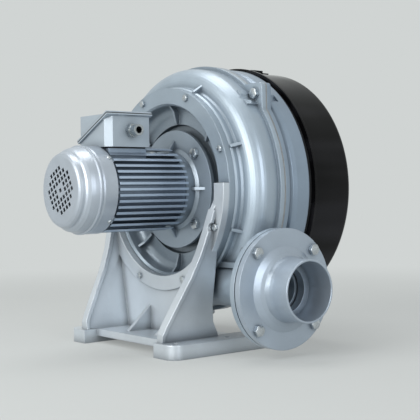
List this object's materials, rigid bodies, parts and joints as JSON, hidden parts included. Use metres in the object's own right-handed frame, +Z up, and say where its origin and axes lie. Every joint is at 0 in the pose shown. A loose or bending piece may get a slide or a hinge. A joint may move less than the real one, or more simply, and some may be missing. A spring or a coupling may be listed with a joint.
{
  "type": "industrial blower",
  "caption": "Direct-driven turbo blower: finned flange motor on a cast leg stand, silver volute casing, black intake drum and a flanged side outlet pipe.",
  "frame": {"origin": "centre of the four foot holes on the floor plane under the stand", "axes": "+X along the shaft from the motor's fan cover to the intake drum, outlet along -Y, +Z up"},
  "size_m": [0.447, 0.512, 0.475],
  "materials": {
    "stand_paint": "satin silver paint",
    "cover_paint": "satin silver paint",
    "casing_paint": "satin silver paint",
    "ring_bolt_zinc": "zinc plated",
    "plate_steel": "plain",
    "vane_aluminium": "as cast",
    "inner_screw_steel": "ground",
    "rear_paint": "satin silver paint",
    "joint_bolt_zinc": "zinc plated",
    "joint_nut_zinc": "zinc plated",
    "cone_steel": "spun",
    "cone_screw_zinc": "zinc plated",
    "drum_black": "gloss",
    "spacer_rubber": "matte",
    "drum_screw_black": "black",
    "liner_foam": "open foam",
    "guard_wire": "zinc",
    "guard_rod_zinc": "zinc plated",
    "guard_screw_zinc": "zinc plated",
    "bracket_black": "gloss",
    "bracket_screw_black": "black",
    "gasket_fibre": "fibre",
    "pipe_paint": "satin silver paint",
    "outlet_bolt_zinc": "zinc plated",
    "outlet_nut_zinc": "zinc plated",
    "shaft_steel": "ground",
    "core_steel": "ground",
    "ring_aluminium": "as cast",
    "impeller_aluminium": "as cast",
    "rear_impeller_aluminium": "as cast",
    "spacer_steel": "ground",
    "nut_steel": "ground",
    "key_steel": "ground",
    "front_race_steel": "ground",
    "front_ball_steel": "ground",
    "rear_race_steel": "ground",
    "rear_ball_steel": "ground",
    "spring_steel": "ground",
    "seal_rubber": "matte",
    "stator_steel": "ground",
    "winding_enamel": "enamelled copper",
    "motor_paint": "blue-grey paint",
    "shield_paint": "silver paint",
    "rear_shield_paint": "silver paint",
    "flange_bolt_zinc": "zinc plated",
    "shield_screw_zinc": "zinc plated",
    "fan_plastic": "matte",
    "clip_steel": "ground",
    "fan_cover_paint": "silver paint",
    "cover_screw_zinc": "zinc plated",
    "box_gasket_rubber": "matte",
    "box_paint": "blue-grey paint",
    "box_cover_paint": "pale grey paint",
    "box_screw_zinc": "zinc plated",
    "block_plastic": "moulded",
    "stud_brass": "turned",
    "gland_alloy": "nickel plated",
    "gland_nut_alloy": "nickel plated"
  },
  "bodies": {
    "housing": {"stand": "stand_paint", "front_cover": "cover_paint", "volute_casing": "casing_paint", "cover_ring_bolts": "ring_bolt_zinc", "interstage_plate": "plate_steel", "return_vane_disc": "vane_aluminium", "return_disc_screws": "inner_screw_steel", "rear_casing": "rear_paint", "joint_bolts": "joint_bolt_zinc", "joint_nuts": "joint_nut_zinc", "inlet_cone": "cone_steel", "inlet_cone_screws": "cone_screw_zinc", "intake_drum": "drum_black", "drum_spacer_ring": "spacer_rubber", "drum_screws": "drum_screw_black", "drum_liner": "liner_foam", "intake_guard": "guard_wire", "guard_rods": "guard_rod_zinc", "guard_screws": "guard_screw_zinc", "drum_bracket": "bracket_black", "bracket_screws": "bracket_screw_black", "outlet_gasket": "gasket_fibre", "outlet_pipe": "pipe_paint", "outlet_bolts": "outlet_bolt_zinc", "outlet_nuts": "outlet_nut_zinc", "front_bearing_outer": "front_race_steel", "rear_bearing_outer": "rear_race_steel", "wave_spring": "spring_steel", "shaft_seal": "seal_rubber", "stator_core": "stator_steel", "stator_windings": "winding_enamel", "motor_frame": "motor_paint", "flange_end_shield": "shield_paint", "rear_end_shield": "rear_shield_paint", "motor_flange_bolts": "flange_bolt_zinc", "shield_screws": "shield_screw_zinc", "fan_cover": "fan_cover_paint", "fan_cover_screws": "cover_screw_zinc", "terminal_box_gasket": "box_gasket_rubber", "terminal_box_base": "box_paint", "terminal_box_cover": "box_cover_paint", "terminal_cover_screws": "box_screw_zinc", "terminal_block": "block_plastic", "terminal_studs": "stud_brass", "cable_gland": "gland_alloy", "gland_nut": "gland_nut_alloy"},
    "rotor": {"rotor_shaft": "shaft_steel", "rotor_core": "core_steel", "rotor_end_rings": "ring_aluminium", "impeller_front": "impeller_aluminium", "impeller_rear": "rear_impeller_aluminium", "impeller_spacer": "spacer_steel", "impeller_nut": "nut_steel", "impeller_keys": "key_steel", "front_bearing_inner": "front_ball_steel", "rear_bearing_inner": "rear_ball_steel", "cooling_fan": "fan_plastic", "fan_clip": "clip_steel"}
  },
  "joints": [
    {"name": "shaft_spin", "type": "hinge", "parent": "housing", "child": "rotor", "pos_m": [0, 0, 0.262], "axis": [1, 0, 0], "continuous": true}
  ]
}
